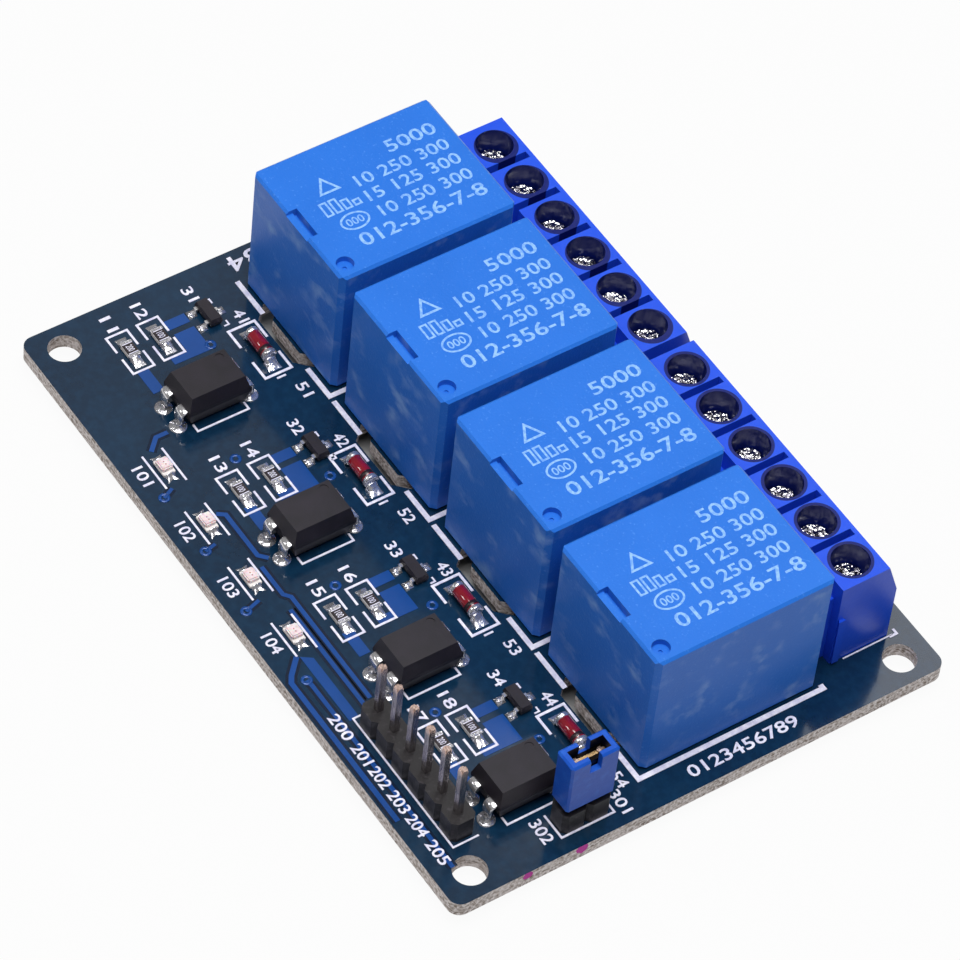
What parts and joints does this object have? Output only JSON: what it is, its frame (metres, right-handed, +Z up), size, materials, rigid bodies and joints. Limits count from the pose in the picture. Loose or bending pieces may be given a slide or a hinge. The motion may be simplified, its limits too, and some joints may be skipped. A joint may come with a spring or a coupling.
{
  "type": "relay module board",
  "caption": "Flat circuit board with a row of block relays that switch loads on screw terminals along one edge, driven from a pin header on the other.",
  "frame": {"origin": "middle of the board in plan, on the plane that the trimmed lead tips under the board stand on", "axes": "+X along the long edge towards the supply jumper, +Y from the control edge to the screw terminals, +Z up from the board"},
  "size_m": [0.0734, 0.0524, 0.0184],
  "materials": {
    "solder_mask": "glossy lacquer",
    "solder": "bright solder",
    "relay_blue": "satin moulded plastic",
    "black_plastic": "matt moulded plastic",
    "coil_iron": "plated iron with wound copper",
    "contact_brass": "bare spring brass",
    "terminal_blue": "satin moulded plastic",
    "nickel_plate": "bright nickel plate",
    "tinned_copper": "bright tin plate",
    "package_black": "moulded epoxy",
    "pin_plate": "plated pins",
    "jumper_blue": "satin moulded plastic",
    "lamp_clear": "cloudy cast resin",
    "resistor_black": "glazed",
    "diode_glass": "clear glass tube"
  },
  "bodies": {
    "board": {"circuit_board": "solder_mask", "solder_joints": "solder", "smd_solder": "solder", "relay_cover_1": "relay_blue", "relay_cover_2": "relay_blue", "relay_cover_3": "relay_blue", "relay_cover_4": "relay_blue", "relay_base_1": "black_plastic", "relay_base_2": "black_plastic", "relay_base_3": "black_plastic", "relay_base_4": "black_plastic", "relay_coil_1": "coil_iron", "relay_coil_2": "coil_iron", "relay_coil_3": "coil_iron", "relay_coil_4": "coil_iron", "relay_terminals": "contact_brass", "terminal_block_1": "terminal_blue", "terminal_block_2": "terminal_blue", "terminal_bars": "tinned_copper", "optocouplers": "package_black", "optocoupler_leads": "tinned_copper", "header_strip": "black_plastic", "header_pins": "pin_plate", "jumper_strip": "black_plastic", "jumper_pins": "pin_plate", "leds": "lamp_clear", "resistors": "resistor_black", "diodes": "diode_glass", "transistors": "package_black", "transistor_leads": "tinned_copper"},
    "armature_1": {"relay_armature_1": "contact_brass"},
    "armature_2": {"relay_armature_2": "contact_brass"},
    "armature_3": {"relay_armature_3": "contact_brass"},
    "armature_4": {"relay_armature_4": "contact_brass"},
    "screw_1": {"terminal_screw_1": "nickel_plate"},
    "clamp_1": {"terminal_clamp_1": "nickel_plate"},
    "screw_2": {"terminal_screw_2": "nickel_plate"},
    "clamp_2": {"terminal_clamp_2": "nickel_plate"},
    "screw_3": {"terminal_screw_3": "nickel_plate"},
    "clamp_3": {"terminal_clamp_3": "nickel_plate"},
    "screw_4": {"terminal_screw_4": "nickel_plate"},
    "clamp_4": {"terminal_clamp_4": "nickel_plate"},
    "screw_5": {"terminal_screw_5": "nickel_plate"},
    "clamp_5": {"terminal_clamp_5": "nickel_plate"},
    "screw_6": {"terminal_screw_6": "nickel_plate"},
    "clamp_6": {"terminal_clamp_6": "nickel_plate"},
    "screw_7": {"terminal_screw_7": "nickel_plate"},
    "clamp_7": {"terminal_clamp_7": "nickel_plate"},
    "screw_8": {"terminal_screw_8": "nickel_plate"},
    "clamp_8": {"terminal_clamp_8": "nickel_plate"},
    "screw_9": {"terminal_screw_9": "nickel_plate"},
    "clamp_9": {"terminal_clamp_9": "nickel_plate"},
    "screw_10": {"terminal_screw_10": "nickel_plate"},
    "clamp_10": {"terminal_clamp_10": "nickel_plate"},
    "screw_11": {"terminal_screw_11": "nickel_plate"},
    "clamp_11": {"terminal_clamp_11": "nickel_plate"},
    "screw_12": {"terminal_screw_12": "nickel_plate"},
    "clamp_12": {"terminal_clamp_12": "nickel_plate"},
    "jumper": {"jumper_cap": "jumper_blue", "jumper_clip": "contact_brass"}
  },
  "joints": [
    {"name": "armature_1_pull", "type": "hinge", "parent": "board", "child": "armature_1", "pos_m": [-0.02517, -0.00125, 0.0155], "axis": [1, 0, 0], "range_deg": [-4, 0], "stiffness_Nm_per_rad": 0.002, "springref_deg": 11.46},
    {"name": "armature_2_pull", "type": "hinge", "parent": "board", "child": "armature_2", "pos_m": [-0.00839, -0.00125, 0.0155], "axis": [1, 0, 0], "range_deg": [-4, 0], "stiffness_Nm_per_rad": 0.002, "springref_deg": 11.46},
    {"name": "armature_3_pull", "type": "hinge", "parent": "board", "child": "armature_3", "pos_m": [0.00839, -0.00125, 0.0155], "axis": [1, 0, 0], "range_deg": [-4, 0], "stiffness_Nm_per_rad": 0.002, "springref_deg": 11.46},
    {"name": "armature_4_pull", "type": "hinge", "parent": "board", "child": "armature_4", "pos_m": [0.02517, -0.00125, 0.0155], "axis": [1, 0, 0], "range_deg": [-4, 0], "stiffness_Nm_per_rad": 0.002, "springref_deg": 11.46},
    {"name": "screw_1_turn", "type": "hinge", "parent": "board", "child": "screw_1", "pos_m": [-0.02821, 0.0197, 0.0112], "axis": [0, 0, 1], "range_deg": [-1280, 0]},
    {"name": "clamp_1_rise", "type": "slide", "parent": "board", "child": "clamp_1", "axis": [0, 0, 1], "range_m": [0, 0.0016]},
    {"name": "screw_2_turn", "type": "hinge", "parent": "board", "child": "screw_2", "pos_m": [-0.02313, 0.0197, 0.0112], "axis": [0, 0, 1], "range_deg": [-1280, 0]},
    {"name": "clamp_2_rise", "type": "slide", "parent": "board", "child": "clamp_2", "axis": [0, 0, 1], "range_m": [0, 0.0016]},
    {"name": "screw_3_turn", "type": "hinge", "parent": "board", "child": "screw_3", "pos_m": [-0.01805, 0.0197, 0.0112], "axis": [0, 0, 1], "range_deg": [-1280, 0]},
    {"name": "clamp_3_rise", "type": "slide", "parent": "board", "child": "clamp_3", "axis": [0, 0, 1], "range_m": [0, 0.0016]},
    {"name": "screw_4_turn", "type": "hinge", "parent": "board", "child": "screw_4", "pos_m": [-0.01297, 0.0197, 0.0112], "axis": [0, 0, 1], "range_deg": [-1280, 0]},
    {"name": "clamp_4_rise", "type": "slide", "parent": "board", "child": "clamp_4", "axis": [0, 0, 1], "range_m": [0, 0.0016]},
    {"name": "screw_5_turn", "type": "hinge", "parent": "board", "child": "screw_5", "pos_m": [-0.00789, 0.0197, 0.0112], "axis": [0, 0, 1], "range_deg": [-1280, 0]},
    {"name": "clamp_5_rise", "type": "slide", "parent": "board", "child": "clamp_5", "axis": [0, 0, 1], "range_m": [0, 0.0016]},
    {"name": "screw_6_turn", "type": "hinge", "parent": "board", "child": "screw_6", "pos_m": [-0.00281, 0.0197, 0.0112], "axis": [0, 0, 1], "range_deg": [-1280, 0]},
    {"name": "clamp_6_rise", "type": "slide", "parent": "board", "child": "clamp_6", "axis": [0, 0, 1], "range_m": [0, 0.0016]},
    {"name": "screw_7_turn", "type": "hinge", "parent": "board", "child": "screw_7", "pos_m": [0.00337, 0.0197, 0.0112], "axis": [0, 0, 1], "range_deg": [-1280, 0]},
    {"name": "clamp_7_rise", "type": "slide", "parent": "board", "child": "clamp_7", "axis": [0, 0, 1], "range_m": [0, 0.0016]},
    {"name": "screw_8_turn", "type": "hinge", "parent": "board", "child": "screw_8", "pos_m": [0.00845, 0.0197, 0.0112], "axis": [0, 0, 1], "range_deg": [-1280, 0]},
    {"name": "clamp_8_rise", "type": "slide", "parent": "board", "child": "clamp_8", "axis": [0, 0, 1], "range_m": [0, 0.0016]},
    {"name": "screw_9_turn", "type": "hinge", "parent": "board", "child": "screw_9", "pos_m": [0.01353, 0.0197, 0.0112], "axis": [0, 0, 1], "range_deg": [-1280, 0]},
    {"name": "clamp_9_rise", "type": "slide", "parent": "board", "child": "clamp_9", "axis": [0, 0, 1], "range_m": [0, 0.0016]},
    {"name": "screw_10_turn", "type": "hinge", "parent": "board", "child": "screw_10", "pos_m": [0.01861, 0.0197, 0.0112], "axis": [0, 0, 1], "range_deg": [-1280, 0]},
    {"name": "clamp_10_rise", "type": "slide", "parent": "board", "child": "clamp_10", "axis": [0, 0, 1], "range_m": [0, 0.0016]},
    {"name": "screw_11_turn", "type": "hinge", "parent": "board", "child": "screw_11", "pos_m": [0.02369, 0.0197, 0.0112], "axis": [0, 0, 1], "range_deg": [-1280, 0]},
    {"name": "clamp_11_rise", "type": "slide", "parent": "board", "child": "clamp_11", "axis": [0, 0, 1], "range_m": [0, 0.0016]},
    {"name": "screw_12_turn", "type": "hinge", "parent": "board", "child": "screw_12", "pos_m": [0.02877, 0.0197, 0.0112], "axis": [0, 0, 1], "range_deg": [-1280, 0]},
    {"name": "clamp_12_rise", "type": "slide", "parent": "board", "child": "clamp_12", "axis": [0, 0, 1], "range_m": [0, 0.0016]},
    {"name": "jumper_pull", "type": "slide", "parent": "board", "child": "jumper", "axis": [0, 0, 1], "range_m": [-0.0008, 0.0055]}
  ],
  "couplings": [
    {"joint": "screw_1_turn", "follows": "clamp_1_rise", "rad_per_m": -13963},
    {"joint": "screw_2_turn", "follows": "clamp_2_rise", "rad_per_m": -13963},
    {"joint": "screw_3_turn", "follows": "clamp_3_rise", "rad_per_m": -13963},
    {"joint": "screw_4_turn", "follows": "clamp_4_rise", "rad_per_m": -13963},
    {"joint": "screw_5_turn", "follows": "clamp_5_rise", "rad_per_m": -13963},
    {"joint": "screw_6_turn", "follows": "clamp_6_rise", "rad_per_m": -13963},
    {"joint": "screw_7_turn", "follows": "clamp_7_rise", "rad_per_m": -13963},
    {"joint": "screw_8_turn", "follows": "clamp_8_rise", "rad_per_m": -13963},
    {"joint": "screw_9_turn", "follows": "clamp_9_rise", "rad_per_m": -13963},
    {"joint": "screw_10_turn", "follows": "clamp_10_rise", "rad_per_m": -13963},
    {"joint": "screw_11_turn", "follows": "clamp_11_rise", "rad_per_m": -13963},
    {"joint": "screw_12_turn", "follows": "clamp_12_rise", "rad_per_m": -13963}
  ]
}
